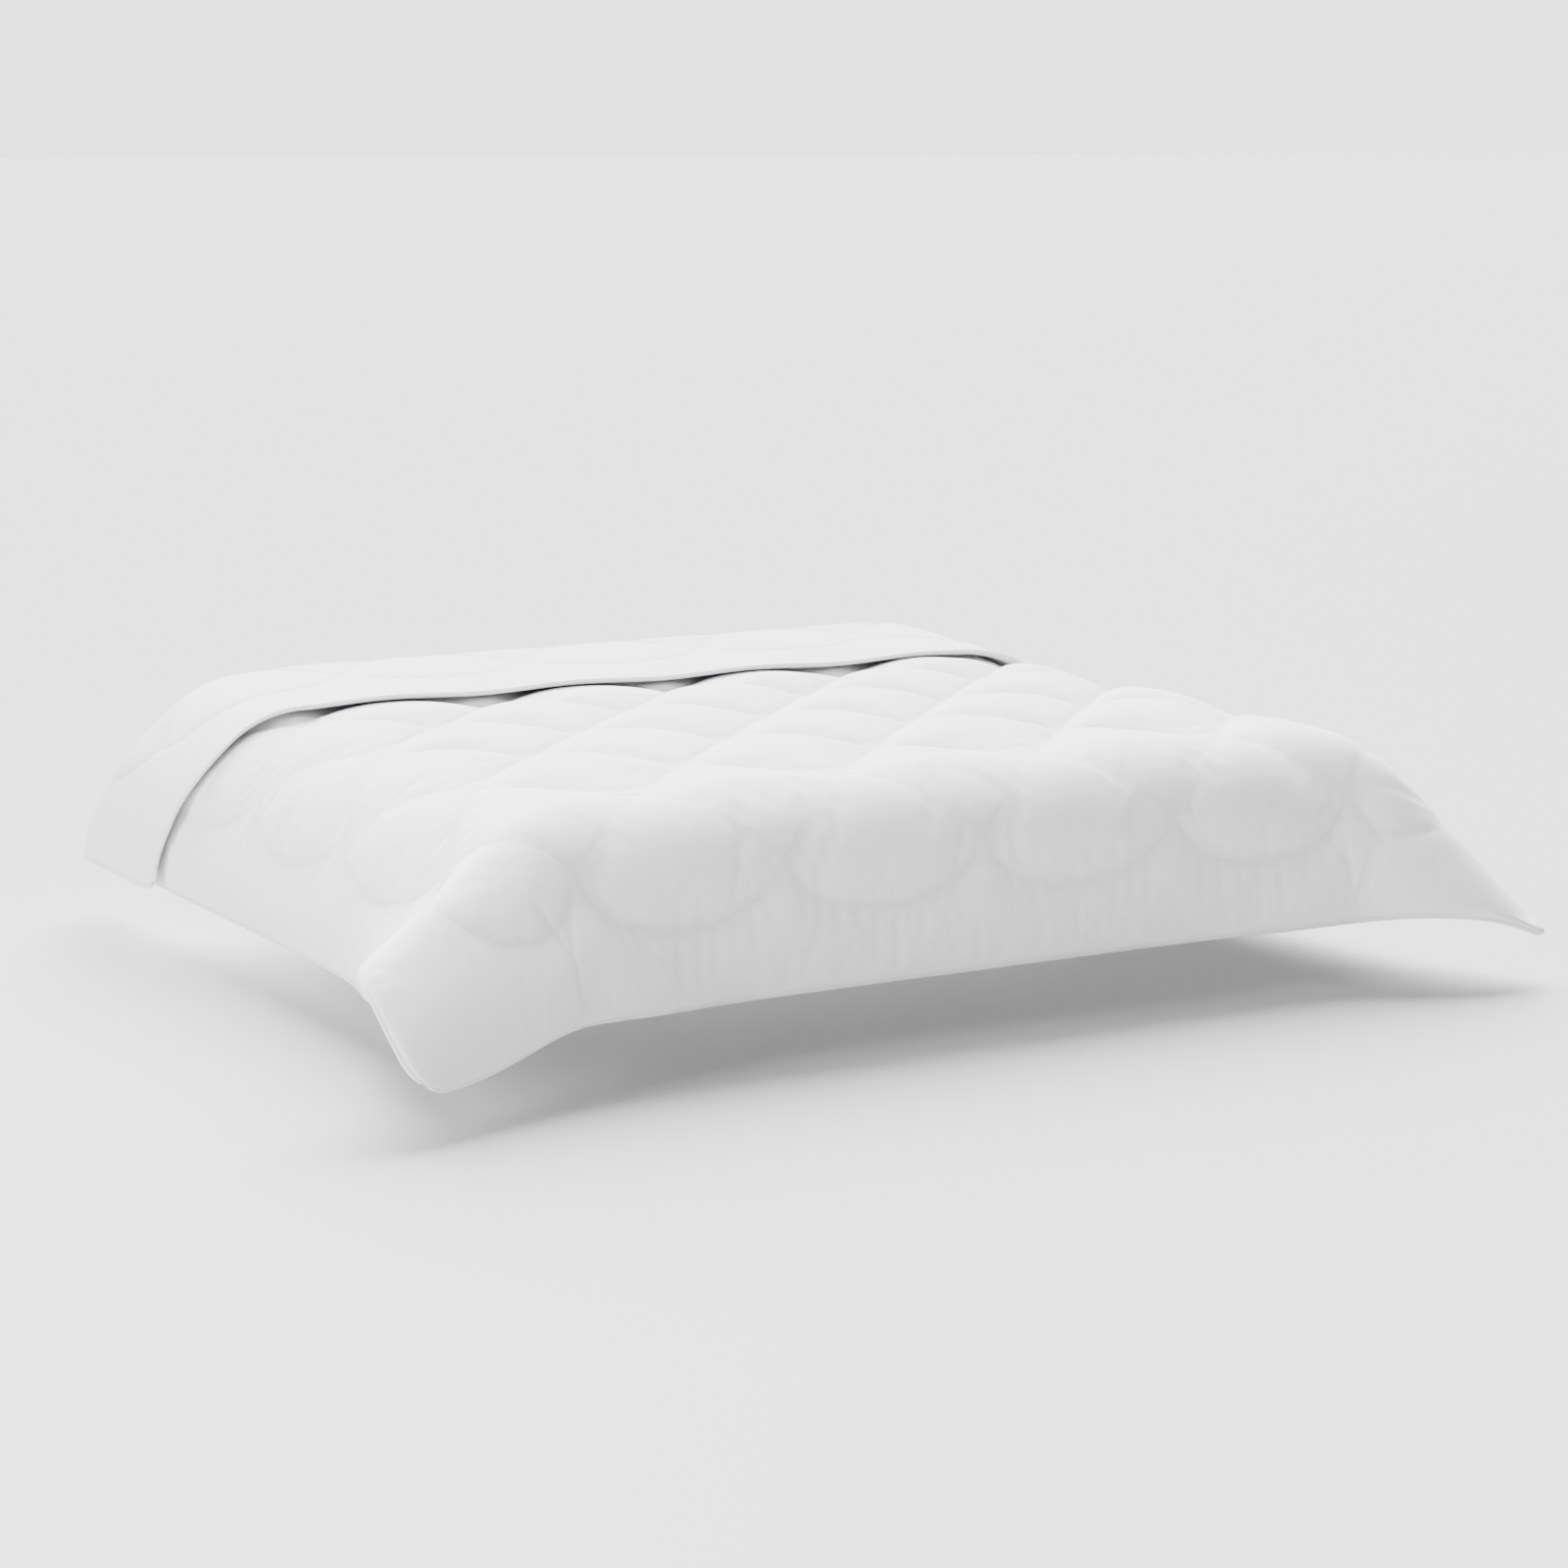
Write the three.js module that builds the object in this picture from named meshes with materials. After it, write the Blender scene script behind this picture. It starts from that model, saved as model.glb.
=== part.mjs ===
// A quilted duvet as it lies on a double bed: flat over the mattress, hanging down
// both sides and the foot, with its head end turned down in a flap.
// Millimetres. +X is to the right seen from the foot, +Y towards the head, +Z up.
// The origin is the middle of the mattress top, on the duvet's flat underside.
import * as THREE from "three";

// ---- Bed that carries the duvet ----
const SIDE_PLANE = 935; // x of the hanging underside, just outside the bed frame
const FOOT_PLANE = 1035; // distance of the foot drop's underside from the origin
const BED_EDGE_RADIUS = 60; // bend of the underside over the mattress edge

// ---- Flat duvet ----
const HALF_WIDTH = 1230;
const LENGTH = 2200;
const FOOT_OVERHANG = 344; // flat length from the foot hem to the bend's start
const CORNER_ROUNDING = 16; // how far each rounded corner is pulled in, per axis

// ---- Quilting: a diamond lattice with a scalloped last row ----
// Four grid steps make a diamond's full diagonal. Both counts of steps are two more
// than a multiple of four, so that the scallops close on the lattice's own lines.
const SIDE_STEPS = 10; // grid steps from the centre line to the edge of the lattice
const HEAD_STEPS = 18; // grid steps from the foot end of the lattice to its head end
const FOLD_STEP = 16; // grid step at which the head end starts to turn back
const SIDE_BORDER = 270; // from a side hem to the lattice
const FOOT_BORDER = 236; // from the foot hem to the lattice
const HEAD_BORDER = 236; // from the head hem to the lattice
const SCALLOP_DEPTH = 96; // how far a scallop reaches out of the lattice

// ---- Layers, outwards from the underside ----
const FABRIC = 1.2; // thickness of the face and of the backing
const LAYER_GAP = 1.5; // clearance between a fabric and the batting
const SEAM_LOFT = 3; // batting squeezed under a quilting line
const BORDER_LOFT = 5; // batting in the plain border
const TOP_LOFT = 30; // batting at a diamond's centre
const FLAP_LOFT = 23; // the same where two layers lie on each other
const WING_LOFT = 9; // the same at the sides, where two layers hang together
const FLAP_CLEARANCE = 4.3; // least gap between the two layers on the bed
const WING_CLEARANCE = 8; // least gap between the two layers at the sides
const FOLD_LOFT = 12; // batting squeezed around the fold
const SHOULDER_LOFT = 0.75; // loft halfway to a seam, as a share of the centre's

// ---- Turned-down flap ----
const FOLD_SLICES = 4; // grid rows around the fold
const HEM_DRIFT = 130; // how far the fold leans towards the head at the hem

// ---- Corner of the foot ----
const CORNER_LEAN = 0.74; // how far the hanging corner swings out, in radians

// ---- Trim ----
const PIPING_GAP = 1.5; // clearance of the piping from the cloth's edge
const PIPING_WIDTH = 6;
const THREAD_GAP = 2.8; // clearance of a thread from the face, at the sharpest bend
const CROSSING_GAP = 1.4; // clearance of two crossing threads
const THREAD_WIDTH = 1.2;
const THREAD_HEIGHT = 0.6;
const PANEL_GAP = 0.004; // gap at a batting joint, as a share of a grid step

const WHITE_COTTON = { color: 0xf1f1f0, roughness: 0.9, metalness: 0 };
const WHITE_BATTING = { color: 0xf7f6f2, roughness: 1, metalness: 0 };
const WHITE_THREAD = { color: 0xe9e9e7, roughness: 0.7, metalness: 0 };

// ---- Sizes that follow from those above ----
const OUTER_STEP = SIDE_STEPS + 3; // grid column of the side hem
const FOOT_STEP = -3; // grid row of the foot hem
const HEAD_STEP = HEAD_STEPS + 3; // grid row of the head hem
const COLUMN_PITCH = (HALF_WIDTH - SIDE_BORDER) / SIDE_STEPS;
const ROW_PITCH = (LENGTH - FOOT_BORDER - HEAD_BORDER) / HEAD_STEPS;
const COVERS = 2 * (FABRIC + LAYER_GAP); // what both fabrics add to the batting
const FLAP_HEIGHT = 2 * (COVERS + FLAP_LOFT) + FLAP_CLEARANCE; // turned layer's outer side
const WING_STANDOFF = 2 * (COVERS + WING_LOFT) + WING_CLEARANCE; // the same at the sides
const BED_HALF_WIDTH = SIDE_PLANE - BED_EDGE_RADIUS; // flat part of the bed, sideways
const FOLD_START = FOOT_BORDER + FOLD_STEP * ROW_PITCH;
const FOLD_END = FOLD_START + (Math.PI / 2) * FLAP_HEIGHT;
const FREE_EDGE = FOLD_START - (LENGTH - FOLD_END); // what lies under the flap's edge
const FOOT_BEND_STEP = Math.round((FOOT_OVERHANG - FOOT_BORDER) / ROW_PITCH);

function smooth(value, from, to) {
  const share = Math.min(1, Math.max(0, (value - from) / (to - from)));
  return share * share * (3 - 2 * share);
}

// Distance out of the lattice, across a border: the scallops' row, the middle of the
// plain strip, then the hem.
function borderPlace(steps, border) {
  if (steps === 1) return SCALLOP_DEPTH;
  if (steps === 2) return (SCALLOP_DEPTH + border) / 2;
  return border;
}

// Flat sideways place of a grid column.
function columnPlace(column) {
  const steps = Math.abs(column);
  const lattice = Math.min(steps, SIDE_STEPS) * COLUMN_PITCH;
  const border = steps > SIDE_STEPS ? borderPlace(steps - SIDE_STEPS, SIDE_BORDER) : 0;
  return Math.sign(column) * (lattice + border);
}

// Flat lengthways place of a grid row, measured from the foot hem. The fold's slices
// share the length of its half turn.
function rowPlace(row) {
  if (row < 0) return FOOT_BORDER - borderPlace(-row, FOOT_BORDER);
  if (row > HEAD_STEPS) {
    return LENGTH - HEAD_BORDER + borderPlace(row - HEAD_STEPS, HEAD_BORDER);
  }
  if (row > FOLD_STEP && row <= FOLD_STEP + 1) {
    return FOLD_START + (row - FOLD_STEP) * (FOLD_END - FOLD_START);
  }
  return FOOT_BORDER + row * ROW_PITCH;
}

// Section of cloth that bends over an edge: way out, drop and lean at a flat distance.
function overEdge(distance, radius, turn) {
  const arc = radius * turn;
  if (distance <= 0) return { out: distance, drop: 0, angle: 0 };
  if (distance < arc) {
    const angle = distance / radius;
    return { out: radius * Math.sin(angle), drop: radius * (1 - Math.cos(angle)), angle };
  }
  const straight = distance - arc;
  return {
    out: radius * Math.sin(turn) + straight * Math.cos(turn),
    drop: radius * (1 - Math.cos(turn)) + straight * Math.sin(turn),
    angle: turn,
  };
}

// Underside of the layer that lies on the bed, and its outward direction.
function lowerLayer(across, along) {
  const side = Math.sign(across) || 1;
  const footStart = BED_EDGE_RADIUS - FOOT_PLANE;
  const beyondSide = Math.abs(across) - BED_HALF_WIDTH;
  const beyondFoot = FOOT_OVERHANG - along;
  if (beyondSide > 0 && beyondFoot > 0) {
    const reach = Math.hypot(beyondSide, beyondFoot);
    const heading = Math.atan2(beyondFoot, beyondSide);
    const lean = CORNER_LEAN * Math.sin(2 * heading) ** 2;
    const bend = overEdge(reach, BED_EDGE_RADIUS, Math.PI / 2 - lean);
    const outX = side * Math.cos(heading);
    const outY = -Math.sin(heading);
    return {
      place: new THREE.Vector3(
        side * BED_HALF_WIDTH + bend.out * outX,
        footStart + bend.out * outY,
        -bend.drop,
      ),
      out: new THREE.Vector3(
        Math.sin(bend.angle) * outX,
        Math.sin(bend.angle) * outY,
        Math.cos(bend.angle),
      ),
    };
  }
  const sideBend = overEdge(beyondSide, BED_EDGE_RADIUS, Math.PI / 2);
  const footBend = overEdge(beyondFoot, BED_EDGE_RADIUS, Math.PI / 2);
  const angle = Math.max(sideBend.angle, footBend.angle);
  return {
    place: new THREE.Vector3(
      side * (BED_HALF_WIDTH + sideBend.out),
      footStart - footBend.out,
      -sideBend.drop - footBend.drop,
    ),
    out: new THREE.Vector3(
      sideBend.angle > 0 ? side * Math.sin(angle) : 0,
      footBend.angle > 0 ? -Math.sin(angle) : 0,
      Math.cos(angle),
    ),
  };
}

// Outer side of the turned-down layer, straight over the same place of the lower one.
function upperLayer(across, along) {
  const { place, out } = lowerLayer(across, along);
  const hanging = smooth(Math.abs(across), BED_HALF_WIDTH - BED_EDGE_RADIUS, SIDE_PLANE);
  const standoff = THREE.MathUtils.lerp(FLAP_HEIGHT, WING_STANDOFF, hanging);
  return { place: place.addScaledVector(out, standoff), out };
}

// Underside of the draped duvet at a flat place: where it is, and which way the
// filling and the face lie from it.
function drape(across, along) {
  const beyondBed = Math.abs(across) - BED_HALF_WIDTH;
  const drift =
    HEM_DRIFT *
    smooth(beyondBed, 0, HALF_WIDTH - SIDE_PLANE) *
    smooth(along, FOLD_START / 2, FOLD_START);
  let spot;
  if (along <= FOLD_START) {
    spot = lowerLayer(across, along);
  } else if (along >= FOLD_END) {
    spot = upperLayer(across, FOLD_START - (along - FOLD_END));
    spot.out.negate();
  } else {
    const turn = (Math.PI * (along - FOLD_START)) / (FOLD_END - FOLD_START);
    const low = lowerLayer(across, FOLD_START);
    const high = upperLayer(across, FOLD_START);
    const centre = low.place.clone().add(high.place).multiplyScalar(0.5);
    const arm = low.place.clone().sub(high.place).multiplyScalar(0.5);
    const blended = low.out.clone().lerp(high.out, turn / Math.PI).normalize();
    spot = {
      place: centre.addScaledVector(arm, Math.cos(turn)),
      out: blended.multiplyScalar(Math.cos(turn)),
    };
    spot.place.y += arm.length() * Math.sin(turn);
    spot.out.y -= Math.sin(turn);
  }
  spot.place.y += drift;
  return spot;
}

// Share of the full loft at a grid crossing: 0 on a quilting line, 1 at a centre.
function puff(column, row) {
  const inside =
    Math.abs(column) <= SIDE_STEPS && row >= 0 && row <= HEAD_STEPS;
  const phase = (((column + row) % 4) + 4) % 4;
  const counter = (((column - row) % 4) + 4) % 4;
  if (phase === 0 || counter === 0 || !inside) return 0;
  return column % 2 === 0 && row % 2 === 0 ? 1 : SHOULDER_LOFT;
}

// Thickness of the batting at a grid crossing. It is less under and in the flap, from
// half a grid row before the flap's free edge.
function loft(column, row) {
  const across = Math.abs(columnPlace(column));
  const beforeEdge = (FREE_EDGE - rowPlace(row)) / ROW_PITCH;
  const doubled = 1 - smooth(beforeEdge, 0.5, 1.5);
  const hanging = smooth(across, BED_HALF_WIDTH - BED_EDGE_RADIUS, SIDE_PLANE);
  const flap = THREE.MathUtils.lerp(FLAP_LOFT, WING_LOFT, hanging);
  const full = THREE.MathUtils.lerp(TOP_LOFT, flap, doubled);
  const inBorder = Math.abs(column) > SIDE_STEPS || row < 0 || row > HEAD_STEPS;
  const inFold = row > FOLD_STEP && row < FOLD_STEP + 1;
  if (inFold) return THREE.MathUtils.lerp(FOLD_LOFT, BORDER_LOFT, hanging);
  if (inBorder) return BORDER_LOFT;
  return SEAM_LOFT + (full - SEAM_LOFT) * puff(column, row);
}

// Rows from one to another; the fold's step is cut into slices.
function rowsBetween(from, to) {
  const rows = [];
  for (let row = from; row <= to; row += 1) {
    rows.push(row);
    if (row !== FOLD_STEP || row === to) continue;
    for (let slice = 1; slice < FOLD_SLICES; slice += 1) rows.push(row + slice / FOLD_SLICES);
  }
  return rows;
}

function columnsBetween(from, to) {
  return Array.from({ length: to - from + 1 }, (_, index) => from + index);
}

// A grid crossing on the draped underside, with the duvet's corners rounded.
function crossing(column, row) {
  let across = columnPlace(column);
  let along = rowPlace(row);
  if (Math.abs(column) === OUTER_STEP) {
    if (row === FOOT_STEP) along += CORNER_ROUNDING;
    if (row === HEAD_STEP) along -= CORNER_ROUNDING;
    if (row === FOOT_STEP || row === HEAD_STEP) across -= Math.sign(across) * CORNER_ROUNDING;
  }
  return drape(across, along);
}

function layered(spot, height) {
  return spot.place.clone().addScaledVector(spot.out, height);
}

// Closed solid from a list of points and triangles.
function solid(name, points, triangles, finish) {
  const geometry = new THREE.BufferGeometry();
  const positions = points.flatMap((point) => [point.x, point.y, point.z]);
  geometry.setAttribute("position", new THREE.Float32BufferAttribute(positions, 3));
  geometry.setIndex(triangles);
  geometry.computeVertexNormals();
  const mesh = new THREE.Mesh(geometry, new THREE.MeshStandardMaterial(finish));
  mesh.name = name;
  return mesh;
}

// The two triangles of a grid square, split along its quilting line where it has one.
function squareTriangles(corner, column, row, at) {
  const evenColumn = column % 2 === 0;
  const evenRow = Math.floor(row) % 2 === 0;
  const [a, b, c, d] = corner.map(([i, j]) => at(i, j));
  const risingLine = evenColumn === evenRow;
  const cornerScallop = row === -1 && (column === SIDE_STEPS || column === -SIDE_STEPS - 1);
  if (risingLine !== cornerScallop) return [a, b, c, a, c, d];
  return [a, b, d, b, c, d];
}

// A layer over a block of the grid, between two heights above the underside.
function layer(name, columns, rows, lowHeight, highHeight, inset, finish) {
  const count = columns.length;
  const lastColumn = count - 1;
  const lastRow = rows.length - 1;
  const spots = rows.map((row) => columns.map((column) => crossing(column, row)));
  const surface = (i, j, height) => layered(spots[j][i], height(columns[i], rows[j]));
  const points = [];
  for (const height of [lowHeight, highHeight]) {
    for (let j = 0; j <= lastRow; j += 1) {
      for (let i = 0; i <= lastColumn; i += 1) {
        const point = surface(i, j, height);
        const innerColumn = i === 0 ? 1 : i === lastColumn ? i - 1 : i;
        const innerRow = j === 0 ? 1 : j === lastRow ? j - 1 : j;
        const towardsColumn = surface(innerColumn, j, height).sub(point);
        const towardsRow = surface(i, innerRow, height).sub(point);
        point.addScaledVector(towardsColumn, inset).addScaledVector(towardsRow, inset);
        points.push(point);
      }
    }
  }
  const half = count * rows.length;
  const low = (i, j) => j * count + i;
  const triangles = [];
  for (let j = 0; j < lastRow; j += 1) {
    for (let i = 0; i < lastColumn; i += 1) {
      const corner = [[i, j], [i + 1, j], [i + 1, j + 1], [i, j + 1]];
      const square = squareTriangles(corner, columns[i], rows[j], low);
      triangles.push(...square.map((index) => index + half));
      triangles.push(...square.slice().reverse());
    }
  }
  const rim = [];
  for (let i = 0; i < lastColumn; i += 1) rim.push(low(i, 0));
  for (let j = 0; j < lastRow; j += 1) rim.push(low(lastColumn, j));
  for (let i = lastColumn; i > 0; i -= 1) rim.push(low(i, lastRow));
  for (let j = lastRow; j > 0; j -= 1) rim.push(low(0, j));
  rim.forEach((start, index) => {
    const end = rim[(index + 1) % rim.length];
    // Neighbouring panels split the wall between them along the same diagonal.
    if (start < end) triangles.push(start, end, end + half, start, end + half, start + half);
    else triangles.push(start, end, start + half, end, end + half, start + half);
  });
  return solid(name, points, triangles, finish);
}

// A bar of rectangular section along a path of { place, out, across } stations.
function bar(name, stations, width, low, high, closed, finish) {
  const points = [];
  for (const { place, out, across, lift } of stations) {
    for (const [side, height] of [[-0.5, low], [0.5, low], [0.5, high], [-0.5, high]]) {
      const corner = place.clone().addScaledVector(out, height + lift);
      points.push(corner.addScaledVector(across, side * width));
    }
  }
  const triangles = [];
  const spans = closed ? stations.length : stations.length - 1;
  for (let span = 0; span < spans; span += 1) {
    const near = span * 4;
    const far = ((span + 1) % stations.length) * 4;
    for (let side = 0; side < 4; side += 1) {
      const next = (side + 1) % 4;
      triangles.push(near + side, near + next, far + next, near + side, far + next, far + side);
    }
  }
  if (!closed) {
    const end = (stations.length - 1) * 4;
    triangles.push(0, 2, 1, 0, 3, 2, end, end + 1, end + 2, end, end + 2, end + 3);
  }
  return solid(name, points, triangles, finish);
}

// Height of the face's outer side over a grid crossing.
function faceHeight(column, row) {
  return COVERS + loft(column, row);
}

const backing = () =>
  layer(
    "backing_fabric",
    columnsBetween(-OUTER_STEP, OUTER_STEP),
    rowsBetween(FOOT_STEP, HEAD_STEP),
    () => 0,
    () => FABRIC,
    0,
    WHITE_COTTON,
  );

const face = () =>
  layer(
    "face_fabric",
    columnsBetween(-OUTER_STEP, OUTER_STEP),
    rowsBetween(FOOT_STEP, HEAD_STEP),
    (column, row) => faceHeight(column, row) - FABRIC,
    faceHeight,
    0,
    WHITE_COTTON,
  );

function battingPanel(name, fromColumn, toColumn, fromRow, toRow) {
  return layer(
    name,
    columnsBetween(fromColumn, toColumn),
    rowsBetween(fromRow, toRow),
    () => FABRIC + LAYER_GAP,
    (column, row) => FABRIC + LAYER_GAP + loft(column, row),
    PANEL_GAP,
    WHITE_BATTING,
  );
}

// The batting, cut where it bends over the bed and where it turns back.
function batting() {
  const columns = columnsBetween(0, OUTER_STEP);
  const bed = columns.filter((column) => columnPlace(column) <= BED_HALF_WIDTH).length - 1;
  const edge = bed + 1;
  const foot = FOOT_BEND_STEP;
  const panels = [
    battingPanel("batting_top", -bed, bed, foot, FOLD_STEP),
    battingPanel("batting_foot_shoulder", -bed, bed, foot - 1, foot),
    battingPanel("batting_foot_drop", -bed, bed, FOOT_STEP, foot - 1),
    battingPanel("batting_fold", -bed, bed, FOLD_STEP, FOLD_STEP + 1),
    battingPanel("batting_flap", -bed, bed, FOLD_STEP + 1, HEAD_STEP),
  ];
  const sides = [
    ["left", (near, far) => [-far, -near]],
    ["right", (near, far) => [near, far]],
  ];
  for (const [side, span] of sides) {
    const panel = (part, near, far, fromRow, toRow) =>
      battingPanel(`batting_${side}_${part}`, ...span(near, far), fromRow, toRow);
    panels.push(panel("shoulder", bed, edge, foot, FOLD_STEP));
    panels.push(panel("drop", edge, OUTER_STEP, foot, FOLD_STEP));
    panels.push(panel("corner", bed, OUTER_STEP, FOOT_STEP, foot));
    panels.push(panel("fold", bed, OUTER_STEP, FOLD_STEP, FOLD_STEP + 1));
    panels.push(panel("wing", bed, OUTER_STEP, FOLD_STEP + 1, HEAD_STEP));
  }
  return panels;
}

// Place on the grid between crossings, straight from one column to the next.
function between(column, row, height) {
  const from = Math.floor(column);
  const share = column - from;
  const near = crossing(from, row);
  const far = share > 0 ? crossing(from + 1, row) : near;
  return {
    place: near.place.clone().lerp(far.place, share),
    out: near.out.clone().lerp(far.out, share).normalize(),
    lift: THREE.MathUtils.lerp(
      height(from, row),
      height(share > 0 ? from + 1 : from, row),
      share,
    ),
  };
}

// Gives each station of a thread its sideways direction.
function withSides(path, closed) {
  const last = path.length - 1;
  return path.map((station, index) => {
    const before = index > 0 ? index - 1 : closed ? last : 0;
    const after = index < last ? index + 1 : closed ? 0 : last;
    const along = path[after].place.clone().sub(path[before].place);
    const across = along.cross(station.out).normalize().negate();
    return { ...station, across };
  });
}

// Thread of one quilting line, on the face, from crossing to crossing.
function quiltingLine(name, offset, slope, level) {
  const path = [];
  for (const row of rowsBetween(0, HEAD_STEPS)) {
    const column = offset + slope * row;
    if (Math.abs(column) <= SIDE_STEPS) path.push(between(column, row, faceHeight));
  }
  const shorten = 3 * THREAD_WIDTH;
  for (const [end, next] of [[0, 1], [path.length - 1, path.length - 2]]) {
    const inward = path[next].place.clone().sub(path[end].place).normalize();
    path[end].place.addScaledVector(inward, shorten);
  }
  const low = THREAD_GAP + level * (THREAD_HEIGHT + CROSSING_GAP);
  const high = low + THREAD_HEIGHT;
  return bar(name, withSides(path, false), THREAD_WIDTH, low, high, false, WHITE_THREAD);
}

// Every line of the lattice, four grid steps apart, from one corner to the other.
function quilting() {
  const lines = [];
  const first = SIDE_STEPS - 2;
  const last = 2 - SIDE_STEPS - HEAD_STEPS;
  for (let offset = first; offset > last; offset -= 4) {
    const number = (first - offset) / 4 + 1;
    lines.push(quiltingLine(`quilting_right_leaning_${number}`, offset, 1, 0));
    lines.push(quiltingLine(`quilting_left_leaning_${number}`, -offset, -1, 1));
  }
  return lines;
}

// Thread of the scalloped line around the quilted field.
function scallopLine() {
  const edge = SIDE_STEPS;
  const last = edge - 2; // outermost crossing of the lattice's foot row
  const corners = [];
  const footScallop = [[0, 0], [1, -1], [2, -1], [3, -1]];
  for (let start = -last; start < last; start += 4) {
    footScallop.forEach(([right, row]) => corners.push([start + right, row]));
  }
  corners.push([last, 0], [edge - 1, -1], [edge, -1], [edge + 1, 0], [edge + 1, 1]);
  const sideScallop = [[0, 0], [1, 1], [1, 2], [1, 3]];
  for (let row = 2; row < HEAD_STEPS; row += 4) {
    sideScallop.forEach(([out, along]) => corners.push([edge + out, row + along]));
  }
  const headScallop = [[0, 0], [1, 1], [2, 1], [3, 1]];
  for (let start = edge; start > -edge; start -= 4) {
    headScallop.forEach(([left, rise]) => corners.push([start - left, HEAD_STEPS + rise]));
  }
  for (let row = HEAD_STEPS; row > 2; row -= 4) {
    sideScallop.forEach(([out, along]) => corners.push([-edge - out, row - along]));
  }
  corners.push([-edge, 2], [-edge - 1, 1], [-edge - 1, 0], [-edge, -1], [-edge + 1, -1]);
  const path = [];
  corners.forEach(([column, row], index) => {
    path.push(between(column, row, faceHeight));
    const [nextColumn, nextRow] = corners[(index + 1) % corners.length];
    const crossesFold = Math.min(row, nextRow) === FOLD_STEP && Math.abs(nextRow - row) === 1;
    if (!crossesFold) return;
    for (let slice = 1; slice < FOLD_SLICES; slice += 1) {
      const share = slice / FOLD_SLICES;
      const midColumn = column + (nextColumn - column) * share;
      path.push(between(midColumn, row + (nextRow - row) * share, faceHeight));
    }
  });
  const low = THREAD_GAP;
  return bar(
    "border_stitching",
    withSides(path, true),
    THREAD_WIDTH,
    low,
    low + THREAD_HEIGHT,
    true,
    WHITE_THREAD,
  );
}

// Piping along one edge of the duvet, just outside the cloth.
function piping(name, hem, inwards) {
  const height = COVERS + BORDER_LOFT;
  const stations = hem.map(([column, row]) => {
    const spot = crossing(column, row);
    const inner = crossing(column + inwards[0], row + inwards[1]);
    const across = spot.place.clone().sub(inner.place);
    across.addScaledVector(spot.out, -across.dot(spot.out)).normalize();
    spot.place.addScaledVector(across, PIPING_GAP + PIPING_WIDTH / 2);
    return { ...spot, across, lift: 0 };
  });
  return bar(name, stations, PIPING_WIDTH, 0, height, false, WHITE_COTTON);
}

// Piping of all four edges, one length to each, apart at the rounded corners.
function edging() {
  const across = columnsBetween(1 - OUTER_STEP, OUTER_STEP - 1);
  const along = rowsBetween(FOOT_STEP + 1, HEAD_STEP - 1);
  return [
    piping("piping_foot", across.map((column) => [-column, FOOT_STEP]), [0, 1]),
    piping("piping_head", across.map((column) => [column, HEAD_STEP]), [0, -1]),
    piping("piping_left", along.map((row) => [-OUTER_STEP, row]), [1, 0]),
    piping("piping_right", along.map((row) => [OUTER_STEP, row]).reverse(), [-1, 0]),
  ];
}

const duvet = new THREE.Group();
duvet.add(backing(), face(), ...batting(), ...quilting(), scallopLine(), ...edging());

export default duvet;
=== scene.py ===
# A white quilted duvet as it lies on a double bed: flat over the mattress, hanging
# down both sides and the foot, its head end turned back in a flap. Metres, in the frame
# of the CAD model: +X right seen from the foot, +Y to the head, z 0 on the mattress.
import math

import bpy
import numpy as np
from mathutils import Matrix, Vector, kdtree


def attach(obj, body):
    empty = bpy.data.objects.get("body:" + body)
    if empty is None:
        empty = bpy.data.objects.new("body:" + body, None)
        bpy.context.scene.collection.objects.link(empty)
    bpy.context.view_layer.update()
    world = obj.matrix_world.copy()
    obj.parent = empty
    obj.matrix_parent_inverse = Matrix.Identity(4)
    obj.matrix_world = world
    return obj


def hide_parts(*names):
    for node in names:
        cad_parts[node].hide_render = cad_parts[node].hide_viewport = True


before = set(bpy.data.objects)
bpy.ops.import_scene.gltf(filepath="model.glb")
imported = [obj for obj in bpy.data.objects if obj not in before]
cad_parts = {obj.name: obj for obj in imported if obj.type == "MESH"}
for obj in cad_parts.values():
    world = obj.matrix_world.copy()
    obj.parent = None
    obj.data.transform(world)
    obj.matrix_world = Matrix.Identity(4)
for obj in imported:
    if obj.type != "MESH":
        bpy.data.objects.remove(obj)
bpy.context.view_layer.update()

# ---- Bed and flat duvet, as in the CAD model ----
SIDE_PLANE = 0.935
FOOT_PLANE = 1.035
EDGE_RADIUS = 0.060
HALF_WIDTH = 1.230
LENGTH = 2.200
FOOT_OVERHANG = 0.344
SIDE_BORDER = 0.270
FOOT_BORDER = 0.236
HEAD_BORDER = 0.236
SIDE_STEPS = 10
HEAD_STEPS = 18
FOLD_STEP = 16
PITCH = 0.096
FLAP_HEIGHT = 0.0611  # of the flap's outer side over the mattress
WING_STANDOFF = 0.0368  # the same where the flap hangs at the sides
BED_HALF_WIDTH = SIDE_PLANE - EDGE_RADIUS
FOLD_START = FOOT_BORDER + FOLD_STEP * PITCH
FOLD_END = FOLD_START + math.pi / 2 * FLAP_HEIGHT
FREE_EDGE = FOLD_START - (LENGTH - FOLD_END)  # flat place under the flap's free edge
FIELD_LENGTH = HEAD_STEPS * PITCH
FIELD_HALF = SIDE_STEPS * PITCH

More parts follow.
